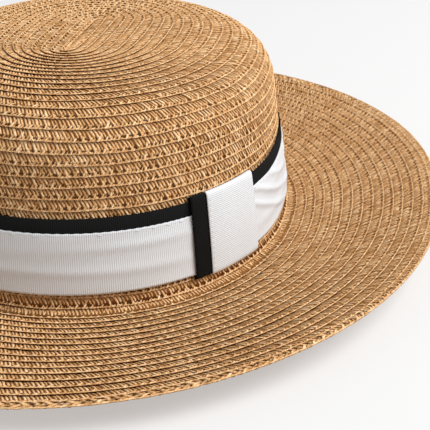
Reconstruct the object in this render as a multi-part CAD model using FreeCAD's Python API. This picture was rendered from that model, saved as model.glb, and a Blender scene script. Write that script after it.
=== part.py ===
import FreeCAD, Part
import math
import os

# Straw boater sewn from one long flat plait that winds out from a straight start on the tip,
# down the wall and across the brim. Millimetres and degrees, +Z up, the hat resting on its brim.
# The front of the hat faces -Y and the wearer's left is +X.

# --- plait and rows ---
ROW = 4.7              # visible width of one row
PLAIT = 0.9            # thickness of the plait
PLAIT_WIDTH = 7.0      # full width, so each row hides the inner edge of the next
START_ROWS = 1.63      # half width of the straight start, in rows
TIP_ROWS = 16          # whole rows on the tip, after the start
WALL_ROWS = 16         # rows on the wall, down to the fold of the brim
BRIM_ROWS = 15         # rows on the flat of the brim
EDGE_ROWS = 0.7        # the doubled row that finishes the brim

# --- shape of the oval ---
START_HALF = 24.8      # half length of the line that the start runs along
OVAL_HALF = 8.6        # the same line on the wall and brim: half of length less width
LINE_HALF = 0.9        # half width of that line, which keeps the ovals smooth
START_SHIFT = (-0.5, -6.4)  # the start lies off the middle of the tip
BLEND_ROWS = 15.8      # rows over which the start's shape turns into the head's oval
BLEND_POWER = 1.4

# --- shape of the crown and brim, as slope against row number ---
DOME_ROWS, DOME_SLOPE, DOME_POWER = 14.6, 16.7, 2.86
WALL_START, WALL_SLOPE = 20.45, 83.3
FOLD_START, FOLD_ROWS = 33.2, 1.4
BRIM_SLOPE = -9.8      # the brim rises slightly outwards
BRIM_LEAN, BRIM_LEAN_AT = 6.3, 20.0   # one side of the soft brim lifts more than the other
LEAN_START = 36.0
REST_FROM, REST_TO = 35.14, 35.5      # ring under the brim, pressed flat, that the hat rests on

# --- ribbons ---
RIBBON = 0.35          # thickness of grosgrain
GAP = 0.05             # between two layers that lie on each other
BAND_TOP, WHITE_TOP, BAND_BOTTOM = 25.2, 26.5, 32.2   # in rows
WRAP_FROM, WRAP_BLACK_TO, WRAP_TO = -46.0, -41.1, -23.2   # turn of the normal round the crown, in degrees
WRAP_STAND = 0.6       # slack between the band and the front of the wrap
SWEATBAND = 0.45       # thickness of the sweatband's heavier grosgrain
SWEATBAND_TOP, SWEATBAND_BOTTOM = 27.0, 33.1

# --- threads ---
THREAD = 0.225
THREAD_WIDTH = 0.5
THREAD_INSET = 1.2     # from a row's outer edge

OVAL_POINTS = 48
STEP = 0.05            # of a row, when the profile is added up


def slope(row):
    """Slope of the straw at a row, positive where it falls outwards."""
    if row < DOME_ROWS:
        return DOME_SLOPE * (row / DOME_ROWS) ** DOME_POWER
    if row < WALL_START:
        return DOME_SLOPE + (WALL_SLOPE - DOME_SLOPE) * (row - DOME_ROWS) / (WALL_START - DOME_ROWS)
    if row < FOLD_START:
        return WALL_SLOPE
    if row < FOLD_START + FOLD_ROWS:
        return WALL_SLOPE + (BRIM_SLOPE - WALL_SLOPE) * (row - FOLD_START) / FOLD_ROWS
    return BRIM_SLOPE


FOLD_TO_PLAIT_BOTTOM = 2 * PLAIT
LAST_ROW = START_ROWS + TIP_ROWS + WALL_ROWS + BRIM_ROWS + EDGE_ROWS


def profile():
    """(radius, height) at every STEP of a row, with the underside of the fold at height 0."""
    radius, height, points = 0.0, 0.0, []
    for i in range(int(LAST_ROW / STEP) + 20):
        points.append((radius, height))
        angle = math.radians(slope((i + 0.5) * STEP))
        radius += ROW * STEP * math.cos(angle)
        height -= ROW * STEP * math.sin(angle)
    lowest = min(h for r, h in points)
    return [(r, h - lowest + FOLD_TO_PLAIT_BOTTOM) for r, h in points]


PROFILE = profile()


def at_row(row):
    """Radius and height of the straw's outer face at a row."""
    i = int(row / STEP)
    part = row / STEP - i
    (r0, z0), (r1, z1) = PROFILE[i], PROFILE[i + 1]
    return r0 + (r1 - r0) * part, z0 + (z1 - z0) * part


def lean(row, x, y):
    """Extra height of the soft brim at a place."""
    span = (row - LEAN_START) / (LAST_ROW - LEAN_START)
    if span <= 0:
        return 0.0
    return BRIM_LEAN * span ** 1.5 * math.cos(math.atan2(y, x) - math.radians(BRIM_LEAN_AT))


def on_straw(row, turn, off):
    """Point at a row, at a turn of the normal round the oval (degrees), standing off the straw's face by off."""
    radius, height = at_row(row)
    angle = math.radians(slope(row))
    away = (1 - min(row / BLEND_ROWS, 1.0)) ** BLEND_POWER
    half = OVAL_HALF + (START_HALF - OVAL_HALF) * away
    c, s = math.cos(math.radians(turn)), math.sin(math.radians(turn))
    line = math.hypot(half * s, LINE_HALF * c)
    reach = radius + off * math.sin(angle)
    x = START_SHIFT[0] * away + LINE_HALF ** 2 * c / line + reach * c
    y = START_SHIFT[1] * away + half ** 2 * s / line + reach * s
    return FreeCAD.Vector(x, y, height + off * math.cos(angle) + lean(row, x, y))


def turn_at(step):
    """Normal's turn at a step of the oval, which spaces points evenly round both long and round ovals."""
    angle = 2 * math.pi * step
    return math.degrees(math.atan2(0.35 * math.sin(angle), math.cos(angle)))


def oval(row, off):
    """Closed edge round the hat at a row."""
    points = [on_straw(row, turn_at(i / OVAL_POINTS), off) for i in range(OVAL_POINTS)]
    curve = Part.BSplineCurve()
    curve.interpolate(Points=points, PeriodicFlag=True,
                      Parameters=[i / OVAL_POINTS for i in range(OVAL_POINTS + 1)])
    return curve.toShape()


def as_solid(faces):
    shell = Part.makeShell(faces)
    shell.sewShape()
    solid = Part.makeSolid(shell)
    if solid.Volume < 0:
        solid.reverse()
    return solid


def to_floor(row):
    """Off of the point under the straw that touches the floor."""
    return -at_row(row)[1] / math.cos(math.radians(slope(row)))


def between(a, b):
    """Face between two ovals: a plane where both lie on the floor."""
    if max(a.BoundBox.ZMax, b.BoundBox.ZMax) < 0.001:
        return Part.makeFace([Part.Wire([a]), Part.Wire([b])], "Part::FaceMakerBullseye")
    return Part.makeRuledSurface(a, b)


def loop(section):
    """Solid round the hat with this closed section of (row, off) points."""
    ovals = [oval(row, off) for row, off in section]
    return as_solid([between(a, b) for a, b in zip(ovals, ovals[1:] + ovals[:1])])


def cap(section):
    """Solid that closes over the middle of the tip: the section's first and last ovals are filled."""
    ovals = [oval(row, off) for row, off in section]
    faces = [between(a, b) for a, b in zip(ovals, ovals[1:])]
    ends = [Part.Face(Part.Wire([edge])) for edge in (ovals[0], ovals[-1])]
    return as_solid(faces + ends)


def box_loop(row, width, off, thick):
    """Loop with a plain rectangular section, width along the straw."""
    half = width / ROW / 2
    return loop([(row - half, off), (row + half, off), (row + half, off + thick), (row - half, off + thick)])


def rows_top(edges):
    """Outer face of a run of rows: every row rises to its outer edge, then drops on to the next."""
    points = []
    for inner, outer in zip(edges, edges[1:]):
        points += [(inner, -PLAIT / 2), (outer, PLAIT / 2)]
    return points


def rows_underside(edges):
    """Inner face of the same run, from the last row back: the hidden edges step the other way."""
    hidden = PLAIT_WIDTH / ROW - 1
    bottom, points = -2 * PLAIT, []
    for inner, outer in zip(edges, edges[1:]):
        step = outer - hidden
        points += [(inner + 0.02, bottom + (1 - hidden) * PLAIT * 0.9), (step, bottom + PLAIT), (step, bottom)]
    points += [(edges[-1], bottom + hidden * PLAIT)]
    return points[::-1]


def row_edges(first, count):
    """Outer edges of count rows, from the edge of row number first."""
    return [START_ROWS + first + i for i in range(count + 1)]


def plait_loop(edges):
    return loop(rows_top(edges) + rows_underside(edges))


def thread_loops(edges):
    """One line of sewing on each row, just inside its outer edge and level with it."""
    inset = THREAD_INSET / ROW
    off = PLAIT / 2 - inset * PLAIT
    return Part.makeCompound([box_loop(edge - inset, THREAD_WIDTH, off, THREAD) for edge in edges])


def patch(section, from_turn, to_turn, steps=6):
    """Solid with this closed section of (row, off) points, over part of the way round."""
    turns = [from_turn + (to_turn - from_turn) * i / steps for i in range(steps + 1)]
    edges = []
    for row, off in section:
        curve = Part.BSplineCurve()
        curve.interpolate(Points=[on_straw(row, turn, off) for turn in turns],
                          Parameters=[i / steps for i in range(steps + 1)])
        edges.append(curve.toShape())
    faces = [Part.makeRuledSurface(a, b) for a, b in zip(edges, edges[1:] + edges[:1])]
    for turn in (from_turn, to_turn):
        corners = [on_straw(row, turn, off) for row, off in section]
        faces.append(Part.Face(Part.makePolygon(corners + corners[:1])))
    return as_solid(faces)


def plate(top, bottom, off, thick, from_turn, to_turn):
    return patch([(top, off), (bottom, off), (bottom, off + thick), (top, off + thick)], from_turn, to_turn)


def folded_plate(back, front, reach, from_turn, to_turn):
    """Ribbon taken over the band: a front layer, folds past both of the band's edges, and short ends behind it."""
    top, bottom = BAND_TOP - reach, BAND_BOTTOM + reach
    lip = 0.09
    end = 1.3
    section = [(top, front + RIBBON), (bottom, front + RIBBON), (bottom, back), (bottom - end, back),
               (bottom - end, back + RIBBON * 0.8), (bottom - lip, back + RIBBON * 0.8), (bottom - lip, front),
               (top + lip, front), (top + lip, back + RIBBON * 0.8), (top + end, back + RIBBON * 0.8),
               (top + end, back), (top, back)]
    return patch(section, from_turn, to_turn)


# --- straw ---
tip_edges = row_edges(0, TIP_ROWS)
wall_edges = row_edges(TIP_ROWS, WALL_ROWS)
brim_edges = row_edges(TIP_ROWS + WALL_ROWS, BRIM_ROWS)
brim_end = brim_edges[-1]
start_top = [(0.6, -PLAIT / 4), (START_ROWS, PLAIT / 2)]
start_underside = [(START_ROWS - 0.5, -2 * PLAIT), (0.6, -2 * PLAIT)]

parts = {}
parts["crown_tip_braid"] = cap(start_top + rows_top(tip_edges) + rows_underside(tip_edges) + start_underside)
parts["crown_side_braid"] = plait_loop([wall_edges[0] + 0.02] + wall_edges[1:])
brim_section = rows_top([brim_edges[0] + 0.02] + brim_edges[1:]) + rows_underside(brim_edges)
rest = min(range(len(brim_section)), key=lambda i: abs(brim_section[i][0] - REST_FROM) + brim_section[i][1])
brim_section[rest:rest + 1] = [(row, to_floor(row)) for row in (REST_TO, REST_FROM)]
parts["brim_braid"] = loop(brim_section)
parts["brim_edge_braid"] = loop([
    (brim_end + 0.02, -0.5 * PLAIT), (brim_end + 0.4, 0.35 * PLAIT), (brim_end + 0.6, 0.1 * PLAIT),
    (brim_end + EDGE_ROWS, -0.6 * PLAIT), (brim_end + EDGE_ROWS, -1.2 * PLAIT),
    (brim_end + 0.6, -1.75 * PLAIT), (brim_end + 0.35, -2.0 * PLAIT), (brim_end + 0.02, -2.1 * PLAIT)])

# --- sewing of the straw ---
parts["crown_tip_stitching"] = thread_loops(tip_edges)
parts["crown_side_stitching"] = thread_loops(wall_edges[1:])
parts["brim_stitching"] = thread_loops(brim_edges[1:])
parts["brim_edge_stitching"] = box_loop(brim_end + 0.4, THREAD_WIDTH, 0.38 * PLAIT, THREAD)

# --- band round the crown, over the ends of the wrap that are tucked behind it ---
behind = PLAIT / 2 + GAP
black = behind + RIBBON
white = black + RIBBON + GAP
wrap_black = white + RIBBON + WRAP_STAND
wrap_white = wrap_black + RIBBON + GAP
parts["band_black_ribbon"] = loop([(BAND_TOP, black), (BAND_BOTTOM - 0.15, black),
                                   (BAND_BOTTOM - 0.15, black + RIBBON), (BAND_TOP, black + RIBBON)])
parts["band_white_ribbon"] = loop([(WHITE_TOP, white), (BAND_BOTTOM, white),
                                   (BAND_BOTTOM, white + RIBBON), (WHITE_TOP, white + RIBBON)])
parts["band_topstitching"] = box_loop(WHITE_TOP + 0.22, 0.3, white + RIBBON, 0.15)

# --- wrap that covers the band's join ---
parts["wrap_black_ribbon"] = folded_plate(behind, wrap_black, 0.17, WRAP_FROM, WRAP_BLACK_TO + 4)
parts["wrap_white_ribbon"] = plate(BAND_TOP - 0.17, BAND_BOTTOM + 0.17, wrap_white, RIBBON, WRAP_BLACK_TO, WRAP_TO)
parts["wrap_topstitching"] = plate(BAND_TOP, BAND_BOTTOM, wrap_white + RIBBON, 0.15,
                                   WRAP_BLACK_TO + 0.6, WRAP_BLACK_TO + 0.8)
tack_turns = [WRAP_TO + 0.5, WRAP_FROM - 1.0]
parts["wrap_tack_stitches"] = Part.makeCompound([
    plate(row, row + 0.5, white + RIBBON, 0.25, turn, turn + 0.4)
    for turn in tack_turns for row in (BAND_TOP + 1.45, BAND_BOTTOM - 0.6)])

# --- inside of the crown ---
lining = -2 * PLAIT - GAP - SWEATBAND
sweatband_rows = [SWEATBAND_TOP, 29.0, 31.0, SWEATBAND_BOTTOM]
parts["sweatband"] = loop([(row, lining) for row in sweatband_rows]
                          + [(row, lining + SWEATBAND) for row in sweatband_rows[::-1]])
parts["sweatband_stitching"] = box_loop(SWEATBAND_BOTTOM - 0.3, THREAD_WIDTH, lining - THREAD, THREAD)
seam_off = lining - GAP - RIBBON
parts["sweatband_seam_tape"] = plate(SWEATBAND_TOP + 0.1, SWEATBAND_BOTTOM - 0.5, seam_off, RIBBON, 87, 93)
parts["size_label"] = plate(SWEATBAND_TOP + 1.5, SWEATBAND_TOP + 4.3, seam_off, 0.25, 97, 111)
parts["size_label_stitches"] = Part.makeCompound([
    plate(SWEATBAND_TOP + 1.6, SWEATBAND_TOP + 4.2, seam_off - 0.15, 0.15, turn, turn + 0.3)
    for turn in (97.6, 110.1)])

os.makedirs("parts", exist_ok=True)
for name, shape in parts.items():
    shape.exportStep("parts/" + name + ".step")
    print(name, shape.isValid(), len(shape.Solids), round(shape.Volume, 1))
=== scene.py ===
import math

import bpy
import numpy as np
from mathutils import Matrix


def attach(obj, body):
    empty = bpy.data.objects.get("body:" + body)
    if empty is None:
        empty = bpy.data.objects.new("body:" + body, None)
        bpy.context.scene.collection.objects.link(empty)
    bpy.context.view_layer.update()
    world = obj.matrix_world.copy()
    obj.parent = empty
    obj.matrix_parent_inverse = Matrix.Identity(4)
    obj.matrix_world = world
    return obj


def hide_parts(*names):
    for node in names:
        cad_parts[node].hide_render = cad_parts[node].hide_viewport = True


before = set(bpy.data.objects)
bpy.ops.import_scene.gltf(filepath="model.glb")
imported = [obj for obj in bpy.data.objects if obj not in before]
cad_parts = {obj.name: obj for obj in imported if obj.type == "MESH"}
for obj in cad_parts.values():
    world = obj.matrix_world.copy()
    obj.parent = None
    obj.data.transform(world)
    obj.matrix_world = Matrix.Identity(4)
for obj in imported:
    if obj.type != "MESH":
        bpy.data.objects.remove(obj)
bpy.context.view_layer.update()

rng = np.random.default_rng(7)
MM = 0.001

# ---------------------------------------------------------------- measures of the hat
ROW = 4.7                # visible width of one row
PLAIT = 0.9              # thickness of the plait
PLAIT_WIDTH = 7.0
START_ROWS, TIP_ROWS, WALL_ROWS, BRIM_ROWS, EDGE_ROWS = 1.63, 16, 16, 15, 0.7
LAST_ROW = START_ROWS + TIP_ROWS + WALL_ROWS + BRIM_ROWS + EDGE_ROWS
# The thin ellipse: its long half axis at the start and from the shoulder out, and its short half axis.
START_HALF, OVAL_HALF, LINE_HALF = 24.8, 8.6, 0.9
START_SHIFT = (-0.5, -6.4)                          # of the start from the middle of the head oval
BLEND_ROWS, BLEND_POWER = 15.8, 1.4
DOME_ROWS, DOME_SLOPE, DOME_POWER = 14.6, 16.7, 2.86
WALL_START, WALL_SLOPE = 20.45, 83.3
FOLD_START, FOLD_ROWS, BRIM_SLOPE = 33.2, 1.4, -9.8
BRIM_LEAN, BRIM_LEAN_AT, LEAN_START = 6.3, 20.0, 36.0
RIBBON, LINING, LABEL, GAP = 0.35, 0.45, 0.25, 0.05  # thicknesses, and the room between two layers
BAND_TOP, WHITE_TOP, BAND_BOTTOM = 25.2, 26.5, 32.2      # rows
WRAP_FROM, WRAP_BLACK_TO, WRAP_TO = -46.0, -41.1, -23.2  # turns, in degrees
SWEATBAND_TOP, SWEATBAND_BOTTOM = 27.0, 33.1             # rows
TAPE_FROM, TAPE_TO, LABEL_FROM, LABEL_TO = 87, 93, 97, 111   # turns, in degrees
LABEL_TOP, LABEL_BOTTOM = SWEATBAND_TOP + 1.5, SWEATBAND_TOP + 4.3
NEAR_SIDE = 0.25         # share of the way round at which windings are counted, the wearer's front

# ---------------------------------------------------------------- measures of the plait
STRANDS = 5
PERIOD = 7.65            # length of plait in which a straw goes across and back
STRAW_WIDTH, STRAW_THICK = 1.3, 0.46
WEAVE_HEIGHT = 0.24      # of a straw's middle above or below the plait's own
RIM_STRAW = 0.27         # radius of the straw that runs along the rim
CORE_STEP = 2.4          # between the rings of the plait's core
STITCH_PITCH, STITCH_INSET, STITCH_DEPTH = 3.35, 1.2, 0.58
EDGE_STITCH_INSET = 2.2
FIRST_WINDING, LAST_WINDING = -1.5, 47.95
SEWN_FROM, SEWN_TO = -0.4, 47.0
MOST_LENGTH = 3900.0     # of plait in one piece

STEP = 0.05
ROW_STEPS = np.arange(int(LAST_ROW / STEP) + 20) * STEP


def bell(value, width):
    """One at nought, falling away on both sides as the exponential of minus the square."""
    return np.exp(-(value / width) ** 2)


def slope(row):
    """Slope of the straw in radians: a power curve over the tip, a straight rise in angle round the
    shoulder, the wall's own constant slope, a short turn at the fold, then the brim's."""
    row = np.asarray(row, float)
    dome = DOME_SLOPE * (np.clip(row, 0, DOME_ROWS) / DOME_ROWS) ** DOME_POWER
    turn = (WALL_SLOPE - DOME_SLOPE) * np.clip((row - DOME_ROWS) / (WALL_START - DOME_ROWS), 0, 1)
    fold = (BRIM_SLOPE - WALL_SLOPE) * np.clip((row - FOLD_START) / FOLD_ROWS, 0, 1)
    return np.radians(dome + turn + fold)


PROFILE_ANGLE = slope(ROW_STEPS + STEP / 2)
PROFILE_R = np.concatenate([[0], np.cumsum(ROW * STEP * np.cos(PROFILE_ANGLE))[:-1]])
PROFILE_Z = np.concatenate([[0], np.cumsum(-ROW * STEP * np.sin(PROFILE_ANGLE))[:-1]])
PROFILE_Z = PROFILE_Z - PROFILE_Z.min() + 2 * PLAIT


def turn_at(step):
    """Turn of the oval's normal (radians) at a share of the way round: an ellipse's angle, which spaces
    the steps evenly on long ovals too."""
    angle = 2 * np.pi * np.asarray(step, float)
    return np.arctan2(0.35 * np.sin(angle), np.cos(angle))


def on_straw(row, turn, off):
    """Points of the hat: the profile's radius and height at a row, carried round the parallel curve of
    a thin ellipse at this turn of the normal (radians), and moved off along the straw's own normal."""
    row, turn, off = np.broadcast_arrays(row, turn, off)
    row = np.maximum(row, -0.16)
    radius = np.interp(row, ROW_STEPS, PROFILE_R) + ROW * np.minimum(row, 0)
    height = np.interp(row, ROW_STEPS, PROFILE_Z)
    angle = slope(row)
    away = (1 - np.clip(row / BLEND_ROWS, 0, 1)) ** BLEND_POWER
    half = OVAL_HALF + (START_HALF - OVAL_HALF) * away
    c, s = np.cos(turn), np.sin(turn)
    line = np.hypot(half * s, LINE_HALF * c)
    reach = radius + off * np.sin(angle)
    x = START_SHIFT[0] * away + LINE_HALF ** 2 * c / line + reach * c
    y = START_SHIFT[1] * away + half ** 2 * s / line + reach * s
    span = np.clip((row - LEAN_START) / (LAST_ROW - LEAN_START), 0, None)
    lean = BRIM_LEAN * span ** 1.5 * np.cos(np.arctan2(y, x) - math.radians(BRIM_LEAN_AT))
    return np.stack([x, y, height + off * np.cos(angle) + lean], -1)


# ---------------------------------------------------------------- meshes
def build(name, points, faces, tones=None, uv=None):
    """Mesh object from arrays: points in millimetres, faces as rows of three or four corner numbers,
    tones as named values on the points and uv as a map in millimetres on the cloth."""
    points = np.asarray(points, float).reshape(-1, 3) * MM
    groups = [np.asarray(f, np.int32) for f in (faces if isinstance(faces, list) else [faces]) if len(f)]
    mesh = bpy.data.meshes.new(name)
    corners = np.concatenate([g.ravel() for g in groups])
    sizes = np.concatenate([np.full(len(g), g.shape[1], np.int32) for g in groups])
    starts = np.concatenate([[0], np.cumsum(sizes)[:-1]]).astype(np.int32)
    mesh.vertices.add(len(points))
    mesh.vertices.foreach_set("co", points.astype(np.float32).ravel())
    mesh.loops.add(len(corners))
    mesh.loops.foreach_set("vertex_index", corners)
    mesh.polygons.add(len(sizes))
    mesh.polygons.foreach_set("loop_start", starts)
    mesh.update(calc_edges=True)
    mesh.polygons.foreach_set("use_smooth", np.ones(len(sizes), bool))
    for key, values in (tones or {}).items():
        layer = mesh.attributes.new(key, "FLOAT", "POINT")
        layer.data.foreach_set("value", np.asarray(values, np.float32).ravel())
    if uv is not None:
        layer = mesh.uv_layers.new(name="cloth")
        layer.data.foreach_set("uv", np.asarray(uv, np.float32).reshape(-1, 2)[corners].ravel())
    mesh.validate()
    piece = bpy.data.objects.new(name, mesh)
    bpy.context.scene.collection.objects.link(piece)
    return piece


def finish_piece(piece, material, slot, *nodes):
    """Gives a piece its material and puts it in the place of its CAD nodes. slot is not used."""
    piece.data.materials.append(material)
    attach(piece, "root")
    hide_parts(*nodes)
    return piece


def tubes(rings):
    """Faces of closed tubes. rings has the shape (tubes, rings, corners, 3); each end is one flat face."""
    count, length, sides = rings.shape[:3]
    at = np.arange(count * length * sides).reshape(count, length, sides)
    nxt = np.roll(at, -1, axis=2)
    skin = np.stack([at[:, :-1], nxt[:, :-1], nxt[:, 1:], at[:, 1:]], -1).reshape(-1, 4)
    return [skin, at[:, 0, ::-1].reshape(count, sides), at[:, -1].reshape(count, sides)]


def slab(outer, inner, around=False):
    """Points and faces of a thin closed sheet: an outer and an inner grid of the same shape, joined
    along their borders. around means the grid's first way closes on itself."""
    rows, cols = outer.shape[:2]
    at = np.arange(rows * cols).reshape(rows, cols)
    if around:
        at = np.vstack([at, at[:1]])
    back = at + rows * cols
    quad = lambda a: np.stack([a[:-1, :-1], a[:-1, 1:], a[1:, 1:], a[1:, :-1]], -1).reshape(-1, 4)
    strip = lambda a, b: np.stack([a[:-1], a[1:], b[1:], b[:-1]], -1)
    faces = [quad(at), quad(back)[:, ::-1],
             strip(at[:, 0], back[:, 0]), strip(at[:, -1], back[:, -1])[:, ::-1]]
    if not around:
        faces += [strip(at[0], back[0])[:, ::-1], strip(at[-1], back[-1])]
    return np.concatenate([outer.reshape(-1, 3), inner.reshape(-1, 3)]), np.concatenate(faces)


# ---------------------------------------------------------------- the plait
# Path of a straw against the share of its period: on top from the inner edge to the place where the two
# slants meet, under to the outer edge, on top back to that place, then under to the inner edge. ACROSS is
# a cosine with its ends sharpened by an arcsine, so that the straw turns quickly at both edges.
PHASES = np.array([0.02, 0.18, 0.32, 0.40, 0.52, 0.60, 0.67, 0.86])
SINES = 0.965
ACROSS = 0.5 - np.arcsin(SINES * np.cos(2 * np.pi * PHASES)) / (2 * np.arcsin(SINES))
HEIGHTS = np.array([0.10, 1.0, 0.95, -0.5, 0.5, 1.15, -0.45, -1.0]) * WEAVE_HEIGHT
WIDTHS = np.array([1.1, 0.92, 0.72, 1.1, 0.95, 0.82, 1.1, 1.4])
CORNERS = np.array([[-1.0, 0.0], [0.0, 1.0], [1.0, 0.0], [0.0, -1.0]])


def straw_paths(length, start):
    """Local path of the five straws over a length of plait: along, across from the inner edge, height,
    width and tone. Each straw is a fifth of a period behind the last. passes shifts a whole crossing,
    drift a whole period, and crinkle every ring."""
    periods = max(int(round(length / PERIOD)), 1)
    whole = np.arange(periods)
    along = (whole[:, None] + PHASES).reshape(-1) * (length / periods)
    along = np.tile(along, (STRANDS, 1)) + (np.arange(STRANDS) * PERIOD / STRANDS)[:, None]
    across = np.tile(ACROSS * PLAIT_WIDTH, (STRANDS, periods))
    height = np.tile(HEIGHTS, (STRANDS, periods))
    width = np.tile(WIDTHS, (STRANDS, periods)) * STRAW_WIDTH
    passes = np.repeat(rng.normal(0, 1, (STRANDS, periods * 2)), len(PHASES) // 2, axis=1)
    drift = np.repeat(rng.normal(0, 1, (STRANDS, periods)), len(PHASES), axis=1)
    crinkle = rng.normal(0, 1, (4,) + along.shape)
    along = along + 0.10 * passes + 0.07 * crinkle[0]
    across = across + 0.10 * crinkle[1]
    width = width * (1 + 0.08 * drift + 0.10 * crinkle[2])
    height = height + 0.04 * drift + 0.045 * crinkle[3]
    tone = 0.5 + 0.08 * passes + 0.04 * drift + 0.14 * crinkle[3]
    return along + start, across, height, width, tone


def plait(name, start, length, lay):
    """One length of plait. lay(along, across, height) gives points on the hat. Every straw is a tube
    with a flat four-cornered section set square to its path, and it is pressed down at each stitch.
    The straw's colour carries painted shade: darker low in the weave, at a straw's sides, underneath, at a
    stitch, and where it is tucked under the edge of the row before."""
    along, across, height, width, tone = straw_paths(length, start)
    nearest = (along / STITCH_PITCH - np.round(along / STITCH_PITCH)) * STITCH_PITCH
    inset = PLAIT_WIDTH - STITCH_INSET - 0.3
    pressed = np.exp(-(nearest / 0.9) ** 4 - ((across - inset) / 0.6) ** 2)
    height = height - STITCH_DEPTH * pressed
    ahead, over = np.gradient(along, axis=1), np.gradient(across, axis=1)
    size = np.hypot(ahead, over)
    half = (width / 2)[..., None]
    a = along[..., None] + (-over / size)[..., None] * half * CORNERS[:, 0]
    b = across[..., None] + (ahead / size)[..., None] * half * CORNERS[:, 0]
    h = height[..., None] + STRAW_THICK / 2 * CORNERS[:, 1]
    rings = lay(a, np.clip(b, -0.15, PLAIT_WIDTH + 0.15), h)
    shape = rings.shape[:3]
    spread = lambda v: np.broadcast_to(v[..., None], shape)
    # Painted shade in the straw's colour: a dark line where the plait is tucked under the row before, darker
    # low in the weave, at each straw's sides and underneath, and darkest in the stitch dimples.
    tucked_shade = bell(across - (PLAIT_WIDTH - ROW - 0.2), 0.55)
    low = np.clip(0.32 - 1.2 * np.abs(h), 0, 0.8) + 0.24 * np.abs(CORNERS[:, 0]) + 0.22 * (h < -0.05)
    painted_shade = np.maximum(np.maximum(low, 0.60 * spread(tucked_shade)), 0.95 * spread(pressed))
    return build(name, rings, tubes(rings), {"tone": spread(tone), "painted_shade": painted_shade})


def rim_straw(name, start, length, lay):
    """The thin straw that runs along the plait's outer rim: a tube of three corners with three rings to
    each stitch. It lies a little proud between the stitches and the thread draws it in at each one."""
    count = int(3 * length / STITCH_PITCH)
    along = start + np.linspace(0, length, count)
    ring = np.radians(np.arange(3) * 120 + 90)
    beat = 0.5 - 0.5 * np.cos(2 * np.pi * along / STITCH_PITCH)
    size = RIM_STRAW * (0.9 + 0.2 * beat + 0.12 * rng.normal(0, 1, count))
    drawn = 0.08 * (beat - 1) + 0.05 * rng.normal(0, 1, count)
    a = np.broadcast_to(along[:, None], (count, 3))
    b = PLAIT_WIDTH - 0.22 + drawn[:, None] + size[:, None] * np.cos(ring)
    h = 0.02 + 0.08 * beat[:, None] + size[:, None] * np.sin(ring)
    rings = lay(a, b, h)[None, :, ::-1]
    # Painted shade: the rim straw's tone is darker where the thread draws it in at each stitch, on top of
    # its random tone, and its two lower corners and drawn-in places are given painted shade.
    tone = 0.46 + 0.16 * beat + 0.16 * rng.normal(0, 1, count)
    shaded = np.array([0.25, 0.25, 0.0]) + 0.20 * (1 - beat[:, None])
    tones = {"tone": np.broadcast_to(tone[None, :, None], rings.shape[:3]), "painted_shade": shaded[None]}
    return build(name, rings, tubes(rings), tones)


def core(name, start, length, lay):
    """The straw that lies unseen between the plait's two faces and closes the weave against light: one
    flat strip from rim to inner edge, where it is pressed up against the row before."""
    count = int(length / CORE_STEP)
    along = start + np.linspace(0, length, count)
    shape = (count, 4)
    b = np.array([0.35, PLAIT_WIDTH / 2, PLAIT_WIDTH - 0.45, PLAIT_WIDTH / 2]) + np.zeros(shape)
    h = np.array([0.46, 0.02, -0.05, -0.10]) + np.zeros(shape)
    rings = lay(along[:, None] + np.zeros(shape), b, h)[None]
    # Painted shade: the hidden core takes a dark tone and nearly full painted shade, for the dark between
    # the plait's two faces.
    tones = {"tone": np.full(rings.shape[:3], 0.3), "painted_shade": np.full(rings.shape[:3], 0.88)}
    return build(name, rings, tubes(rings), tones)


def row_of(winding):
    """Row of the plait's outer edge after this many turns round the hat, counted from the near side."""
    return START_ROWS + winding


def wander(row, turn):
    """Small unevenness of hand-guided rows: sums of slow waves round the hat and across the rows."""
    return 0.045 * np.sin(3 * turn + 0.9 * row) + 0.035 * np.sin(7 * turn - 0.55 * row + 1.0) \
        + 0.02 * np.sin(17 * turn + 2.3 * row)


WINDINGS = np.linspace(FIRST_WINDING, LAST_WINDING, 24000)
FINAL_ROW = START_ROWS + TIP_ROWS + WALL_ROWS + BRIM_ROWS


def winding_row(winding):
    """The last turn runs level, under the turn before it."""
    return np.minimum(row_of(winding), FINAL_ROW)


def winding_drop(winding):
    """How far the last turn sinks to pass under the turn before it."""
    return 0.55 * np.clip(row_of(winding) - FINAL_ROW, 0, 1)


MIDDLE = on_straw(np.maximum(winding_row(WINDINGS) - 0.4, 0.2), turn_at(WINDINGS - NEAR_SIDE), 0.0)
LENGTHS = np.concatenate([[0], np.cumsum(np.linalg.norm(np.diff(MIDDLE, axis=0), axis=1))])


def relief(across):
    """Shape of the plait across its width: a raised rim of turned straws, a groove at the sewing and a
    swell where it is pressed up under the row before."""
    return 0.12 * bell(across - 6.5, 0.5) - 0.10 * bell(across - 5.3, 0.5) + 0.10 * bell(across - 1.2, 0.9)


def lay_spiral(along, across, height):
    """The wound plait: along it the winding grows, and across it the row, while the inner edge sinks by
    a plait's thickness for each row so that it lies under the row before."""
    winding = np.interp(along, LENGTHS, WINDINGS)
    turn = turn_at(winding - NEAR_SIDE)
    edge = winding_row(winding)
    row = edge - (PLAIT_WIDTH - across) / ROW
    centre = -PLAIT * (PLAIT_WIDTH - across) / ROW - winding_drop(winding) + relief(across)
    return on_straw(row + wander(edge, turn), turn, centre + height)


def lay_start(along, across, height):
    """Short straight length of plait under the middle of the tip, where the winding starts."""
    x = START_SHIFT[0] + across - PLAIT_WIDTH / 2
    y = START_SHIFT[1] + along
    return np.stack([x + 0 * y, y + 0 * x, PROFILE_Z[0] - 1.25 + height], -1)


EDGE_RING = on_straw(LAST_ROW - 0.5, turn_at(np.linspace(0, 1, 2001)), 0.0)
EDGE_LENGTH = float(np.linalg.norm(np.diff(EDGE_RING, axis=0), axis=1).sum())


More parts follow.
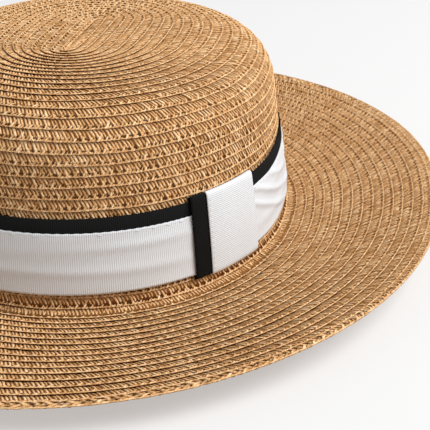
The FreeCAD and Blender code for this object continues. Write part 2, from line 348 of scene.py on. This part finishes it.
def lay_edge_top(along, across, height):
    """Top layer of the edge row: it drops in a curve towards the rim."""
    turn = turn_at(along / EDGE_LENGTH - NEAR_SIDE)
    row = LAST_ROW - (PLAIT_WIDTH - across) / ROW
    round_off = 0.75 * np.clip((row - (LAST_ROW - 0.40)) / 0.40, 0, 1) ** 2
    centre = -PLAIT * np.clip(LAST_ROW - 0.3 - row, 0, None) - round_off - 0.1
    return on_straw(row - 0.03 + 0.6 * wander(LAST_ROW, turn), turn, centre + 0.6 * relief(across) + height)


def lay_edge_under(along, across, height):
    """The same plait turned over and doubled back under the edge."""
    turn = turn_at(-along / EDGE_LENGTH - NEAR_SIDE)
    row = LAST_ROW - (PLAIT_WIDTH - across) / ROW
    centre = -1.4 + 0.30 * np.clip((row - (LAST_ROW - 0.6)) / 0.6, 0, 1) ** 2 \
        - 0.45 * np.clip(LAST_ROW - 0.75 - row, 0, None)
    return on_straw(row - 0.20, turn, centre - 0.9 * height)


def stitches(name, lay, start, length, across):
    """Small stitches along a row of sewing: each is a short bent tube of three corners and three
    rings, closed at both ends, that dips into the straw where it goes through."""
    count = max(int(length / STITCH_PITCH), 1)
    middle = (np.ceil(start / STITCH_PITCH) + np.arange(count)) * STITCH_PITCH
    middle = middle[:, None] + np.array([-0.62, 0.0, 0.62])
    lift = np.array([-0.10, 0.24, -0.10])
    ring = np.radians([90, 210, 330])
    thick = np.array([0.16, 0.30, 0.16])
    shape = (count, 3, 3)
    a = np.broadcast_to(middle[..., None], shape)
    b = across + thick[:, None] * np.cos(ring) + 0 * a
    h = 0.04 + lift[:, None] + 0.8 * thick[:, None] * np.sin(ring) + 0 * a
    rings = lay(a, b, h)
    return build(name, rings[:, :, ::-1], tubes(rings))


# ---------------------------------------------------------------- materials
def new_material(name):
    """A new material, its node tree and its Principled shader."""
    material = bpy.data.materials.new(name)
    material.use_nodes = True
    tree = material.node_tree
    return material, tree, tree.nodes["Principled BSDF"]


def node(tree, kind, **inputs):
    """A new node with values set on its inputs by name."""
    made = tree.nodes.new(kind)
    for key, value in inputs.items():
        made.inputs[key].default_value = value
    return made


def maths(tree, operation, a, b):
    """Output of a Math node on two values, each a number or another node's output."""
    made = tree.nodes.new("ShaderNodeMath")
    made.operation = operation
    for i, value in enumerate((a, b)):
        if isinstance(value, (int, float)):
            made.inputs[i].default_value = value
        else:
            tree.links.new(value, made.inputs[i])
    return made.outputs[0]


def swing(tree, value, amount):
    """A value about one half, brought to nought and scaled by amount."""
    return maths(tree, "MULTIPLY", maths(tree, "SUBTRACT", value, 0.5), amount)


def blend_colour(tree, factor, a, b):
    """Colour that goes from a to b as factor rises; each is a colour or another node's output."""
    made = tree.nodes.new("ShaderNodeMix")
    made.data_type = "RGBA"
    tree.links.new(factor, made.inputs[0])
    for socket, value in ((made.inputs[6], a), (made.inputs[7], b)):
        if isinstance(value, tuple):
            socket.default_value = value + (1.0,)
        else:
            tree.links.new(value, socket)
    return made.outputs[2]


def attribute(tree, name):
    """A value that the mesh holds on its points."""
    made = tree.nodes.new("ShaderNodeAttribute")
    made.attribute_name = name
    return made.outputs["Fac"]


def new_group(name, inputs, outputs):
    """A new node group with named number sockets, and its input and output nodes."""
    group = bpy.data.node_groups.new(name, "ShaderNodeTree")
    for way, names in (("INPUT", inputs), ("OUTPUT", outputs)):
        for socket in names:
            group.interface.new_socket(name=socket, in_out=way, socket_type="NodeSocketFloat")
    return group, group.nodes.new("NodeGroupInput"), group.nodes.new("NodeGroupOutput")


def object_noise(tree):
    """A Noise node that reads the piece's own space."""
    made = tree.nodes.new("ShaderNodeTexNoise")
    tree.links.new(tree.nodes.new("ShaderNodeTexCoord").outputs["Object"], made.inputs["Vector"])
    return made


def mottle_group():
    """Soft mottle shared by straw and thread. Scale is in waves to the metre, and Detail is how many
    finer layers are added."""
    group, given, out = new_group("soft_mottle", ("Scale", "Detail"), ("Mottle",))
    made = object_noise(group)
    for key in ("Scale", "Detail"):
        group.links.new(given.outputs[key], made.inputs[key])
    group.links.new(made.outputs["Fac"], out.inputs["Mottle"])
    return group


soft_mottle = mottle_group()


def mottled(tree, scale, detail):
    """The mottle placed in a material with its own scale and detail."""
    made = node(tree, "ShaderNodeGroup")
    made.node_tree = soft_mottle
    made.inputs["Scale"].default_value, made.inputs["Detail"].default_value = scale, detail
    return made.outputs["Mottle"]


def straw_material():
    """Paper straw: three browns chosen by the straw's own tone, a fine mottle and slow patches, going
    to a dark brown painted shade where the mesh's shade value marks the weave's hollows, sides and stitches."""
    material, tree, skin = new_material("paper_straw")
    tone = attribute(tree, "tone")
    mottle = mottled(tree, 1300.0, 4.0)
    patch = mottled(tree, 45.0, 2.0)
    mixed = maths(tree, "ADD", tone, swing(tree, mottle, 1.6))
    mixed = maths(tree, "ADD", mixed, swing(tree, patch, 0.25))
    ramp = tree.nodes.new("ShaderNodeValToRGB")
    ramp.color_ramp.elements[0].position, ramp.color_ramp.elements[1].position = 0.10, 0.95
    ramp.color_ramp.elements[0].color = (0.44, 0.225, 0.085, 1)
    ramp.color_ramp.elements[1].color = (1.0, 0.74, 0.45, 1)
    middle = ramp.color_ramp.elements.new(0.5)
    middle.color = (0.80, 0.462, 0.208, 1)
    tree.links.new(mixed, ramp.inputs[0])
    # Painted shade: the straw's colour is mixed towards this dark brown by the shade value the mesh carries.
    colour = blend_colour(tree, attribute(tree, "painted_shade"), ramp.outputs[0], (0.17, 0.065, 0.016))
    tree.links.new(colour, skin.inputs["Base Color"])
    rough = maths(tree, "ADD", 0.62, maths(tree, "MULTIPLY", mottle, 0.25))
    tree.links.new(rough, skin.inputs["Roughness"])
    skin.inputs["Specular IOR Level"].default_value = 0.06
    bump = node(tree, "ShaderNodeBump", Strength=0.5, Distance=0.0002)
    tree.links.new(mottle, bump.inputs["Height"])
    tree.links.new(bump.outputs[0], skin.inputs["Normal"])
    return material


def thread_material(name, light, dark):
    """Matt sewing thread, flecked between two colours."""
    material, tree, skin = new_material(name)
    colour = blend_colour(tree, mottled(tree, 1500.0, 3.0), dark, light)
    tree.links.new(colour, skin.inputs["Base Color"])
    skin.inputs["Roughness"].default_value = 0.9
    skin.inputs["Specular IOR Level"].default_value = 0.0
    return material


def grosgrain_group():
    """Weave of grosgrain. Rib is a sine along the ribbon's own map, which is in millimetres, one wave to
    each 0.85. Weave is Rib by Rib Share, and fine noise in the piece's space for the rest."""
    group, given, out = new_group("grosgrain_rib", ("Rib Share",), ("Weave", "Rib"))
    place = group.nodes.new("ShaderNodeUVMap")
    place.uv_map = "cloth"
    split = group.nodes.new("ShaderNodeSeparateXYZ")
    group.links.new(place.outputs[0], split.inputs[0])
    wave = maths(group, "SINE", maths(group, "MULTIPLY", split.outputs[0], 2 * math.pi / 0.85), 0.0)
    rib = maths(group, "ADD", 0.5, maths(group, "MULTIPLY", wave, 0.5))
    fuzz = object_noise(group)
    fuzz.inputs["Scale"].default_value, fuzz.inputs["Detail"].default_value = 1100.0, 3.0
    share = given.outputs["Rib Share"]
    weave = maths(group, "ADD", maths(group, "MULTIPLY", rib, share),
                  maths(group, "MULTIPLY", fuzz.outputs["Fac"], maths(group, "SUBTRACT", 1.0, share)))
    group.links.new(weave, out.inputs["Weave"])
    group.links.new(rib, out.inputs["Rib"])
    return group


grosgrain_rib = grosgrain_group()


def grosgrain_material(name, light, dark, roughness, share):
    """Ribbon that goes from dark to light with the weave and stands up in ribs."""
    material, tree, skin = new_material(name)
    weave = node(tree, "ShaderNodeGroup")
    weave.node_tree = grosgrain_rib
    weave.inputs["Rib Share"].default_value = share
    tree.links.new(blend_colour(tree, weave.outputs["Weave"], dark, light), skin.inputs["Base Color"])
    skin.inputs["Roughness"].default_value = roughness
    skin.inputs["Specular IOR Level"].default_value = 0.15
    bump = node(tree, "ShaderNodeBump", Strength=0.5, Distance=0.0002)
    tree.links.new(weave.outputs["Rib"], bump.inputs["Height"])
    tree.links.new(bump.outputs[0], skin.inputs["Normal"])
    return material


straw = straw_material()
# Painted shade: the straw thread is coloured dark brown so that the stitch dimples read dark; the real
# thread is straw coloured.
straw_thread = thread_material("straw_thread_painted_dark", (0.12, 0.06, 0.024), (0.05, 0.022, 0.009))
black_cloth = grosgrain_material("black_grosgrain", (0.006, 0.006, 0.006), (0.002, 0.002, 0.002), 0.9, 0.6)
white_cloth = grosgrain_material("white_grosgrain", (0.72, 0.74, 0.765), (0.60, 0.62, 0.645), 0.7, 0.7)
lining_cloth = grosgrain_material("lining_grosgrain", (0.76, 0.64, 0.48), (0.60, 0.48, 0.34), 0.8, 0.55)
label_cloth = grosgrain_material("label_satin", (0.88, 0.87, 0.84), (0.80, 0.79, 0.75), 0.5, 0.4)
white_thread = thread_material("white_thread", (0.88, 0.88, 0.87), (0.62, 0.61, 0.60))
black_thread = thread_material("black_thread", (0.02, 0.02, 0.02), (0.008, 0.008, 0.008))
lining_thread = thread_material("lining_thread", (0.74, 0.62, 0.45), (0.50, 0.40, 0.28))


# ---------------------------------------------------------------- straw pieces
def spiral_pieces(node_name, first, last):
    """The plait between two windings: its rim straw and its core whole, and its five straws cut into
    pieces of the same length."""
    start, end = np.interp([first, last], WINDINGS, LENGTHS)
    count = int(math.ceil((end - start) / MOST_LENGTH))
    length = (end - start) / count
    for kind, maker in (("rim", rim_straw), ("core", core)):
        finish_piece(maker(f"{node_name}_{kind}", start, end - start, lay_spiral), straw, "straw", node_name)
    for i in range(count):
        piece = plait(f"{node_name}_plait_{i + 1}", start + i * length, length, lay_spiral)
        finish_piece(piece, straw, "straw", node_name)


def spiral_stitches(node_name, first, last):
    """The sewing between two windings, just inside the plait's rim."""
    start, end = np.interp([first, last], WINDINGS, LENGTHS)
    made = stitches(node_name + "_row", lay_spiral, start, end - start, PLAIT_WIDTH - STITCH_INSET)
    finish_piece(made, straw_thread, "straw_thread", node_name)


spiral_pieces("crown_tip_braid", FIRST_WINDING, TIP_ROWS)
half_start = START_HALF + 3.0
start_plait = plait("crown_tip_start_plait", -half_start, 2 * half_start, lay_start)
finish_piece(start_plait, straw, "straw", "crown_tip_braid")
spiral_pieces("crown_side_braid", TIP_ROWS, TIP_ROWS + WALL_ROWS)
spiral_pieces("brim_braid", TIP_ROWS + WALL_ROWS, LAST_WINDING)
spiral_stitches("crown_tip_stitching", SEWN_FROM, TIP_ROWS)
spiral_stitches("crown_side_stitching", TIP_ROWS, TIP_ROWS + WALL_ROWS)
spiral_stitches("brim_stitching", TIP_ROWS + WALL_ROWS, SEWN_TO)
for face, lay in (("top", lay_edge_top), ("under", lay_edge_under)):
    edge_plait = plait("brim_edge_plait_" + face, 0.0, EDGE_LENGTH, lay)
    finish_piece(edge_plait, straw, "straw", "brim_edge_braid")
edge_rim = rim_straw("brim_edge_rim", 0.0, EDGE_LENGTH, lay_edge_top)
finish_piece(edge_rim, straw, "straw", "brim_edge_braid")
edge_row = stitches("brim_edge_row", lay_edge_top, 0.0, EDGE_LENGTH, PLAIT_WIDTH - EDGE_STITCH_INSET)
finish_piece(edge_row, straw_thread, "straw_thread", "brim_edge_stitching")

# ---------------------------------------------------------------- ribbons round the crown
# How far off the straw's middle each layer's inner face lies, from the straw outwards.
BEHIND = PLAIT / 2 + GAP
BLACK = BEHIND + RIBBON
WHITE = BLACK + RIBBON + GAP
WRAP_BLACK = WHITE + RIBBON + 0.6
WRAP_WHITE = WRAP_BLACK + RIBBON + GAP


def creases(row, turn):
    """Soft unevenness of the white ribbon: two long creases along it that come and go, and slanting
    pleats on the wearer's left of the wrap, where the ribbon is pulled under it."""
    degrees = np.degrees(turn)
    calm = 1 - bell(degrees + 34, 16)
    upper = bell(row - 28.1 - 0.25 * np.sin(2.2 * turn), 0.45) * (0.6 + 0.4 * np.sin(5 * turn))
    lower = 0.8 * bell(row - 30.4 - 0.3 * np.sin(1.7 * turn + 1), 0.5)
    long_crease = 0.5 * calm * (upper + lower)
    beside = np.clip((degrees + 26) / 6, 0, 1) * np.clip((22 - degrees) / 30, 0, 1)
    slant = (row - 29.3) - (degrees + 5) * 0.16
    pleats = 0.75 * bell(slant, 0.35) + 0.65 * bell(slant - 1.6, 0.32) + 0.6 * bell(slant + 1.7, 0.35)
    edge = np.clip((row - WHITE_TOP) / 0.6, 0, 1) * np.clip((BAND_BOTTOM - row) / 0.6, 0, 1)
    along = turn * 92
    dimple = -0.28 * bell(row - WHITE_TOP - 0.25, 0.16) * (0.5 + 0.5 * np.cos(2 * np.pi * along / 3.2)) ** 2
    folds = (long_crease + beside * pleats) * (0.25 + 0.75 * edge)
    return folds + 0.10 * np.sin(9 * turn + row) * edge + dimple


PICOT = 0.02             # rows that the loops of a selvage stand in and out


def band(name, top, bottom, off, thick, steps, across, shape=None):
    """Ribbon all the way round: a grid of steps round the hat by points down its width; both selvages
    stand in and out in small loops of thread. shape(row, turn) is added to the off."""
    step = np.arange(steps)[:, None] / steps
    share = np.linspace(0, 1, across)[None, :]
    turn = turn_at(step) + 0 * share
    picot = PICOT * np.cos(np.pi * np.arange(steps))[:, None] * np.where((share == 0) | (share == 1), 1, 0)
    row = top + (bottom - top) * share + picot * np.sign(share - 0.5)
    extra = shape(row, turn) if shape else 0 * turn
    outer, inner = on_straw(row, turn, off + thick + extra), on_straw(row, turn, off + extra)
    points, faces = slab(outer, inner, around=True)
    length = np.linalg.norm(np.diff(outer[:, 0], axis=0, append=outer[:1, 0]), axis=1).cumsum()
    flat = np.stack([length[:, None] + 0 * share, (row - top) * ROW], -1)
    return build(name, points, faces, uv=np.concatenate([flat.reshape(-1, 2)] * 2))


def crown_length(row, off):
    """Girth in metres at a row and off."""
    ring = on_straw(row, turn_at(np.linspace(0, 1, 721)), off)
    return float(np.linalg.norm(np.diff(ring, axis=0), axis=1).sum()) * MM


BLACK_BOTTOM = BAND_BOTTOM - 0.15
black_band = band("black_ribbon", BAND_TOP, BLACK_BOTTOM, BLACK, RIBBON, 900, 5)
finish_piece(black_band, black_cloth, "black_grosgrain", "band_black_ribbon")
white_band = band("white_ribbon", WHITE_TOP, BAND_BOTTOM, WHITE, RIBBON, 820, 32, creases)
finish_piece(white_band, white_cloth, "white_grosgrain", "band_white_ribbon")


def ribbon_path(back, front, top, bottom, tuck, bulge):
    """Path down the wrap in (row, off), from its upper tucked end behind the band, over the band's top
    edge, down the front in a shallow bulge, round the bottom edge and up behind again."""
    share = np.linspace(0, 1, 25)
    face = np.stack([top + (bottom - top) * share, front + bulge * np.sin(np.pi * share) ** 0.7], -1)
    bend = np.radians(np.linspace(-80, 80, 7))
    middle, reach = (back + front) / 2, (front - back) / 2
    over = np.stack([top - 0.10 - 0.26 * np.cos(bend) + 0.1, middle + reach * np.sin(bend)], -1)
    under = np.stack([bottom + 0.10 + 0.26 * np.cos(bend) - 0.1, middle + reach * np.sin(bend)], -1)[::-1]
    return np.concatenate([[[top + tuck, back]], over[:-1], face, under[1:], [[bottom - tuck, back]]])


def wrapped(name, path, from_turn, to_turn, columns, thick):
    """Ribbon laid over the band: the path's normals give the two faces, and it is carried round the
    crown between two turns. Gives the piece, its length down the path and its width across."""
    turns = np.radians(np.linspace(from_turn, to_turn, columns))
    flat = path * np.array([ROW, 1.0])
    ahead = np.gradient(flat, axis=0)
    ahead /= np.linalg.norm(ahead, axis=1, keepdims=True)
    normal = np.stack([-ahead[:, 1], ahead[:, 0]], -1)
    sides = [(flat + normal * t) / np.array([ROW, 1.0]) for t in (thick, 0.0)]
    wave = 0.10 * np.sin(np.linspace(0, 2.6 * np.pi, columns))[:, None]
    grids = [on_straw(s[None, :, 0], turns[:, None], s[None, :, 1] + wave * (s[None, :, 1] > 1.8))
             for s in sides]
    points, faces = slab(*grids)
    down = np.concatenate([[0], np.linalg.norm(np.diff(flat, axis=0), axis=1).cumsum()])
    across = np.linalg.norm(np.diff(grids[0][:, 20], axis=0), axis=1).cumsum()
    across = np.concatenate([[0], across])
    uv = np.stack([down[None, :] + 0 * across[:, None], across[:, None] + 0 * down[None, :]], -1)
    piece = build(name, points, faces, uv=np.concatenate([uv.reshape(-1, 2)] * 2))
    return piece, float(down[-1]), float(across[-1])


top, bottom = BAND_TOP - 0.13, BAND_BOTTOM + 0.13
black_path = ribbon_path(BEHIND + 0.1, WRAP_BLACK, top, bottom, 1.2, 0.25)
black_wrap, black_down, black_across = wrapped("black_wrap", black_path, WRAP_FROM, WRAP_BLACK_TO + 4, 14,
                                               RIBBON)
finish_piece(black_wrap, black_cloth, "black_grosgrain", "wrap_black_ribbon")
white_path = ribbon_path(BEHIND + 0.1, WRAP_WHITE, top - 0.04, bottom + 0.04, 1.2, 0.3)
white_wrap, white_down, white_across = wrapped("white_wrap", white_path, WRAP_BLACK_TO, WRAP_TO, 40, RIBBON)
finish_piece(white_wrap, white_cloth, "white_grosgrain", "wrap_white_ribbon")


def thread_line(name, places, thick=0.13, reach=0.55):
    """Short stitches at given (row, turn, off, row step, turn step): tubes of three corners and four
    rings that follow those steps and dip in at both ends."""
    row, turn, off, down, along = (np.asarray(v, float) for v in places)
    share = np.array([-reach, -reach / 2, reach / 2, reach])
    ring = np.radians([90, 210, 330])
    size = thick * np.array([0.4, 1, 1, 0.4])
    shape = (len(row), 4, 3)
    lift = np.array([-0.12, 0.05, 0.05, -0.12])
    spread = size[:, None] * np.cos(ring)
    row, turn, off, down, along = (v[:, None, None] for v in (row, turn, off, down, along))
    r = row + down * share[:, None] - spread / ROW * (np.abs(along) > 0)
    t = turn + along * share[:, None] + spread / 75 * (np.abs(down) > 0) + np.zeros(shape)
    o = off + lift[:, None] + size[:, None] * np.sin(ring) + np.zeros(shape)
    rings = on_straw(r, t, o)
    return build(name, rings, tubes(rings))


count = 180
turn = turn_at((np.arange(count) + 0.5) / count)
row = np.full(count, WHITE_TOP + 0.22)
face = WHITE + RIBBON + creases(row, turn) + 0.06
line = thread_line("band_topstitch", (row, turn, face, 0 * turn, 0 * turn + 0.021))
finish_piece(line, white_thread, "white_thread", "band_topstitching")
count = 14
row = np.linspace(BAND_TOP + 0.2, BAND_BOTTOM - 0.2, count)
share = (row - top) / (bottom - top)
rise = WRAP_WHITE + 0.3 * np.sin(np.pi * share) ** 0.7 + RIBBON
turn = np.full(count, math.radians(WRAP_BLACK_TO + 0.7))
line = thread_line("wrap_topstitch", (row, turn, rise + 0.05, 0 * row + 0.33, 0 * row))
finish_piece(line, white_thread, "white_thread", "wrap_topstitching")
row = np.array([BAND_TOP + 1.7, BAND_BOTTOM - 0.35] * 2)
turn = np.radians(np.repeat([WRAP_TO - 1.5, WRAP_FROM + 1.5], 2))
face = 0 * row + WHITE + RIBBON + 0.1
line = thread_line("wrap_tacks", (row, turn, face, 0 * row + 0.5, 0 * row), 0.2)
finish_piece(line, black_thread, "black_thread", "wrap_tack_stitches")

# ---------------------------------------------------------------- inside of the crown
LINING_OFF = -2 * PLAIT - GAP - LINING


def lining_ease(row, turn):
    """The sweatband stands a little slack: slow waves round the head, more at its free upper edge."""
    free = np.clip((SWEATBAND_BOTTOM - row) / (SWEATBAND_BOTTOM - SWEATBAND_TOP), 0, 1)
    return -free * (0.25 + 0.2 * np.sin(11 * turn) + 0.12 * np.sin(23 * turn + 1))


lining = band("sweatband_ribbon", SWEATBAND_TOP, SWEATBAND_BOTTOM, LINING_OFF, LINING, 700, 9,
              lining_ease)
finish_piece(lining, lining_cloth, "lining_grosgrain", "sweatband")


def patch(name, top_row, bottom_row, off, thick, from_turn, to_turn):
    """Small flat piece on the inside: a grid between two turns and two rows, bowed a little."""
    turns = np.radians(np.linspace(from_turn, to_turn, 16))[:, None]
    rows = np.linspace(top_row, bottom_row, 16)[None, :]
    ease = lining_ease(rows + 0 * turns, turns + 0 * rows)
    arch = np.sin(np.pi * np.linspace(0, 1, 16))
    bow = -0.12 * arch[:, None] * arch[None, :]
    grids = [on_straw(rows, turns, off + ease + bow + t) for t in (thick, 0.0)]
    points, faces = slab(*grids)
    uv = np.stack([(rows - top_row) * ROW + 0 * turns, np.degrees(turns) + 0 * rows], -1)
    return build(name, points, faces, uv=np.concatenate([uv.reshape(-1, 2)] * 2))


tape_off = LINING_OFF - GAP - RIBBON
tape = patch("seam_tape", SWEATBAND_TOP + 0.1, SWEATBAND_BOTTOM - 0.5, tape_off, RIBBON, TAPE_FROM, TAPE_TO)
finish_piece(tape, lining_cloth, "lining_grosgrain", "sweatband_seam_tape")
label = patch("blank_label", LABEL_TOP, LABEL_BOTTOM, tape_off, LABEL, LABEL_FROM, LABEL_TO)
finish_piece(label, label_cloth, "label", "size_label")
row = np.tile(np.linspace(LABEL_TOP + 0.25, LABEL_BOTTOM - 0.25, 6), 2)
turn = np.radians(np.repeat([LABEL_FROM + 0.7, LABEL_TO - 0.7], 6))
face = tape_off - 0.1 + lining_ease(row, turn)
line = thread_line("label_stitches", (row, turn, face, 0 * row + 0.3, 0 * row), 0.12)
finish_piece(line, lining_thread, "lining_thread", "size_label_stitches")
count = 170
turn = turn_at((np.arange(count) + 0.5) / count)
row = np.full(count, SWEATBAND_BOTTOM - 0.3)
face = LINING_OFF - 0.05 + lining_ease(row, turn)
line = thread_line("sweatband_stitches", (row, turn, face, 0 * turn, 0 * turn + 0.02))
finish_piece(line, lining_thread, "lining_thread", "sweatband_stitching")

# ---------------------------------------------------------------- girths of the cloth layers, worked out and not kept
crown_length(28.5, BLACK)
crown_length(29.3, WHITE)
crown_length(30.0, LINING_OFF)

# ---------------------------------------------------------------- floor, light and camera
FLOOR_HALF, FLOOR_DROP = 3.0, 0.0003      # metres
KEY_PLACE, KEY_SIZE, KEY_POWER = (1.2, -0.10, 1.5), 1.2, 46.0
CAMERA_PLACE, CAMERA_AIM = (0.1314, -0.4093, 0.2202), (0.0594, 0.0012, -0.0020)
LENS, SENSOR = 79.9, 36.0

scene = bpy.context.scene
scene.view_settings.view_transform = "Standard"
floor_mesh = bpy.data.meshes.new("studio_floor")
corners = [(FLOOR_HALF * x, FLOOR_HALF * y, -FLOOR_DROP) for x, y in ((-1, -1), (1, -1), (1, 1), (-1, 1))]
floor_mesh.from_pydata(corners, [], [(0, 1, 2, 3)])
floor = bpy.data.objects.new("studio_floor", floor_mesh)
scene.collection.objects.link(floor)
floor_skin, _, skin = new_material("studio_floor_paper")
skin.inputs["Base Color"].default_value = (0.36, 0.36, 0.36, 1)
skin.inputs["Emission Color"].default_value = (1, 1, 1, 1)
skin.inputs["Emission Strength"].default_value = 0.43
skin.inputs["Roughness"].default_value = 1.0
floor_mesh.materials.append(floor_skin)

world = bpy.data.worlds.new("studio")
scene.world = world
world.use_nodes = True
world.node_tree.nodes["Background"].inputs[0].default_value = (1, 1, 1, 1)
world.node_tree.nodes["Background"].inputs[1].default_value = 0.45


def aimed(name, data, place, aim):
    """Object that stands at a place and looks at its aim, with its top upwards: it leans back from
    straight down by the arccosine of the drop, and turns by the arctangent of the way."""
    made = bpy.data.objects.new(name, data)
    made.location = place
    way = np.array(aim) - np.array(place)
    lean = math.acos(-way[2] / np.linalg.norm(way))
    made.rotation_euler = (lean, 0, math.atan2(way[1], way[0]) - math.pi / 2)
    scene.collection.objects.link(made)
    return made


key_light = bpy.data.lights.new("key_light", "AREA")
key_light.energy, key_light.size = KEY_POWER, KEY_SIZE
aimed("key_light", key_light, KEY_PLACE, (0, 0, 0))

camera_data = bpy.data.cameras.new("camera")
camera_data.lens, camera_data.sensor_width = LENS, SENSOR
scene.camera = aimed("camera", camera_data, CAMERA_PLACE, CAMERA_AIM)
